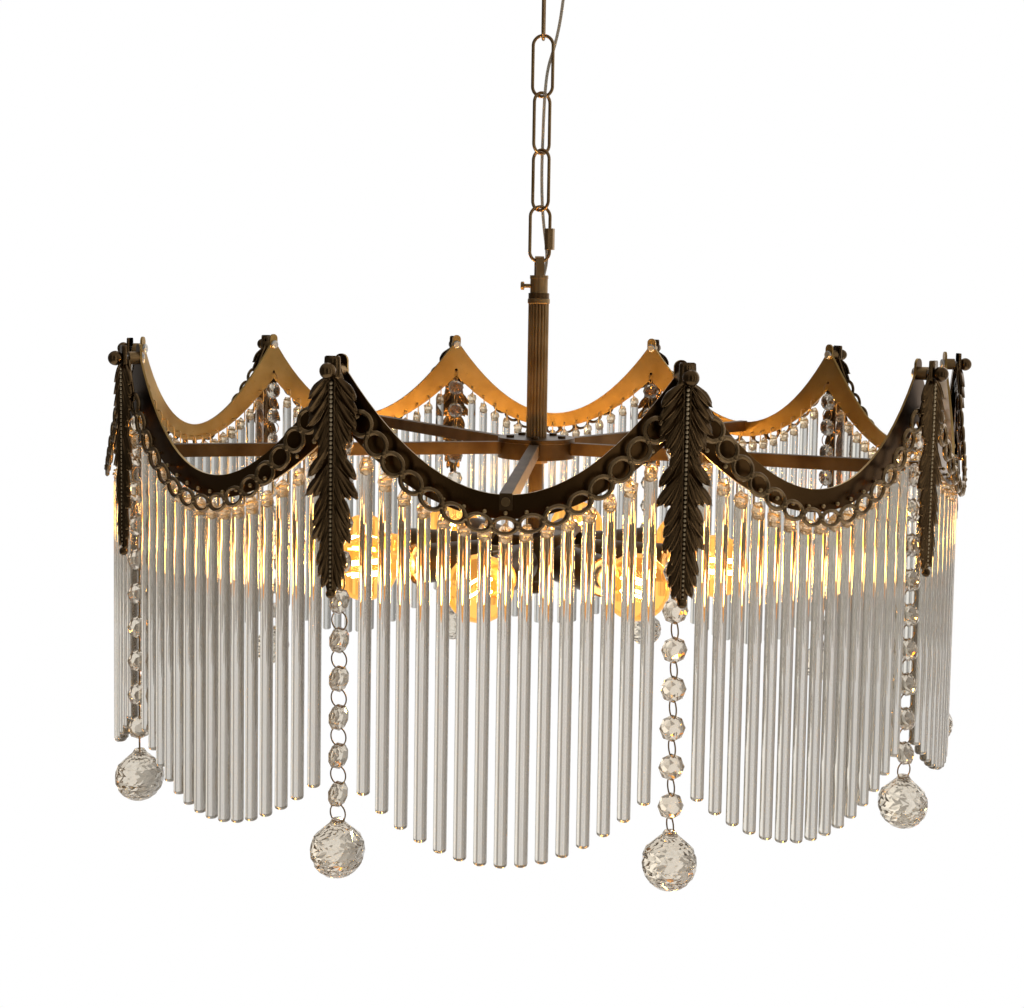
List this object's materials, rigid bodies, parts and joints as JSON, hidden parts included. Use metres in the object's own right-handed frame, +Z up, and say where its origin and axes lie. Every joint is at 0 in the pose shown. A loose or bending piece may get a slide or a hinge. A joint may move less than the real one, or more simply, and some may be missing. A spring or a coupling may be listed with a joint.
{
  "type": "chandelier",
  "caption": "Round brass chandelier on a chain: a scalloped ring with leaf peaks carries glass rods and crystal strings around outward-pointing lamps.",
  "frame": {"origin": "middle of the mounting strap on the ceiling plane", "axes": "+Z up, along the hanging axis; -Y towards the viewer of the picture; +X to the right"},
  "size_m": [0.6326, 0.6116, 0.6136],
  "materials": {
    "steel": "zinc plated",
    "brass": "antique, lacquered",
    "dark_brass": "dark antique",
    "chain_brass": "antique wire",
    "rod_glass": "clear, polished",
    "crystal": "clear, cut",
    "bulb_glass": "clear, blown",
    "clear_cord": "clear flex",
    "white_plastic": "moulded"
  },
  "bodies": {
    "ceiling_fitting": {"mounting_strap": "steel", "canopy": "brass", "canopy_nipple": "steel", "nipple_nut": "steel", "canopy_loop": "brass", "terminal_block": "white_plastic", "cord_bushing": "clear_cord"},
    "fixture": {"chain_link_1": "chain_brass", "chain_link_2": "chain_brass", "chain_link_3": "chain_brass", "chain_link_4": "chain_brass", "quick_link": "chain_brass", "supply_cord": "clear_cord", "hang_loop": "brass", "loop_collar": "brass", "lock_ring": "dark_brass", "stem_cap": "brass", "stem": "brass", "threaded_rod": "steel", "hub_top_plate": "brass", "hub_bottom_plate": "brass", "hub_screws": "brass", "hub_nut": "brass", "arms": "brass", "arm_screws": "brass", "scalloped_band": "brass", "leaf_ornaments": "dark_brass", "ring_garlands": "dark_brass", "peak_spacers": "brass", "peak_bolts": "steel", "ball_nuts": "dark_brass", "rod_hooks": "brass", "glass_rods": "rod_glass", "lower_tube": "brass", "lamp_hub": "brass", "bottom_nut": "brass", "lamp_nipples": "brass", "lamp_cups": "brass", "lamp_sockets": "white_plastic"},
    "link_sleeve": {"quick_link_sleeve": "chain_brass"},
    "thumbscrew": {"thumbscrew": "brass"},
    "bulb_1": {"bulb_1": "bulb_glass"},
    "bulb_2": {"bulb_2": "bulb_glass"},
    "bulb_3": {"bulb_3": "bulb_glass"},
    "bulb_4": {"bulb_4": "bulb_glass"},
    "bulb_5": {"bulb_5": "bulb_glass"},
    "bulb_6": {"bulb_6": "bulb_glass"},
    "bulb_7": {"bulb_7": "bulb_glass"},
    "bulb_8": {"bulb_8": "bulb_glass"},
    "bead_string_1": {"bead_string_1": "crystal"},
    "bead_string_2": {"bead_string_2": "crystal"},
    "bead_string_3": {"bead_string_3": "crystal"},
    "bead_string_4": {"bead_string_4": "crystal"},
    "bead_string_5": {"bead_string_5": "crystal"},
    "bead_string_6": {"bead_string_6": "crystal"},
    "bead_string_7": {"bead_string_7": "crystal"},
    "bead_string_8": {"bead_string_8": "crystal"},
    "bead_string_9": {"bead_string_9": "crystal"},
    "bead_string_10": {"bead_string_10": "crystal"}
  },
  "joints": [
    {"name": "fixture_swing", "type": "hinge", "parent": "ceiling_fitting", "child": "fixture", "pos_m": [0, 0, -0.0605], "axis": [1, 0, 0], "range_deg": [-15, 15], "deforming": ["supply_cord"]},
    {"name": "link_sleeve_travel", "type": "slide", "parent": "fixture", "child": "link_sleeve", "axis": [0, 0, 1], "range_m": [0, 0.0075]},
    {"name": "thumbscrew_travel", "type": "slide", "parent": "fixture", "child": "thumbscrew", "axis": [-1, 0, 0], "range_m": [0, 0.002]},
    {"name": "bulb_1_unscrew", "type": "slide", "parent": "fixture", "child": "bulb_1", "axis": [-0.2079, -0.9781, 0], "range_m": [0, 0.015]},
    {"name": "bulb_2_unscrew", "type": "slide", "parent": "fixture", "child": "bulb_2", "axis": [0.5446, -0.8387, 0], "range_m": [0, 0.015]},
    {"name": "bulb_3_unscrew", "type": "slide", "parent": "fixture", "child": "bulb_3", "axis": [0.9781, -0.2079, 0], "range_m": [0, 0.015]},
    {"name": "bulb_4_unscrew", "type": "slide", "parent": "fixture", "child": "bulb_4", "axis": [0.8387, 0.5446, 0], "range_m": [0, 0.015]},
    {"name": "bulb_5_unscrew", "type": "slide", "parent": "fixture", "child": "bulb_5", "axis": [0.2079, 0.9781, 0], "range_m": [0, 0.015]},
    {"name": "bulb_6_unscrew", "type": "slide", "parent": "fixture", "child": "bulb_6", "axis": [-0.5446, 0.8387, 0], "range_m": [0, 0.015]},
    {"name": "bulb_7_unscrew", "type": "slide", "parent": "fixture", "child": "bulb_7", "axis": [-0.9781, 0.2079, 0], "range_m": [0, 0.015]},
    {"name": "bulb_8_unscrew", "type": "slide", "parent": "fixture", "child": "bulb_8", "axis": [-0.8387, -0.5446, 0], "range_m": [0, 0.015]},
    {"name": "bead_string_1_swing", "type": "hinge", "parent": "fixture", "child": "bead_string_1", "pos_m": [0.09178, -0.28246, -0.35651], "axis": [0.9511, 0.309, 0], "range_deg": [-1, 14]},
    {"name": "bead_string_2_swing", "type": "hinge", "parent": "fixture", "child": "bead_string_2", "pos_m": [0.24028, -0.17457, -0.35651], "axis": [0.5878, 0.809, 0], "range_deg": [-1, 14]},
    {"name": "bead_string_3_swing", "type": "hinge", "parent": "fixture", "child": "bead_string_3", "pos_m": [0.297, 0, -0.35651], "axis": [0, 1, 0], "range_deg": [-1, 14]},
    {"name": "bead_string_4_swing", "type": "hinge", "parent": "fixture", "child": "bead_string_4", "pos_m": [0.24028, 0.17457, -0.35651], "axis": [-0.5878, 0.809, 0], "range_deg": [-1, 14]},
    {"name": "bead_string_5_swing", "type": "hinge", "parent": "fixture", "child": "bead_string_5", "pos_m": [0.09178, 0.28246, -0.35651], "axis": [-0.9511, 0.309, 0], "range_deg": [-1, 14]},
    {"name": "bead_string_6_swing", "type": "hinge", "parent": "fixture", "child": "bead_string_6", "pos_m": [-0.09178, 0.28246, -0.35651], "axis": [-0.9511, -0.309, 0], "range_deg": [-1, 14]},
    {"name": "bead_string_7_swing", "type": "hinge", "parent": "fixture", "child": "bead_string_7", "pos_m": [-0.24028, 0.17457, -0.35651], "axis": [-0.5878, -0.809, 0], "range_deg": [-1, 14]},
    {"name": "bead_string_8_swing", "type": "hinge", "parent": "fixture", "child": "bead_string_8", "pos_m": [-0.297, 0, -0.35651], "axis": [0, -1, 0], "range_deg": [-1, 14]},
    {"name": "bead_string_9_swing", "type": "hinge", "parent": "fixture", "child": "bead_string_9", "pos_m": [-0.24028, -0.17457, -0.35651], "axis": [0.5878, -0.809, 0], "range_deg": [-1, 14]},
    {"name": "bead_string_10_swing", "type": "hinge", "parent": "fixture", "child": "bead_string_10", "pos_m": [-0.09178, -0.28246, -0.35651], "axis": [0.9511, -0.309, 0], "range_deg": [-1, 14]}
  ]
}
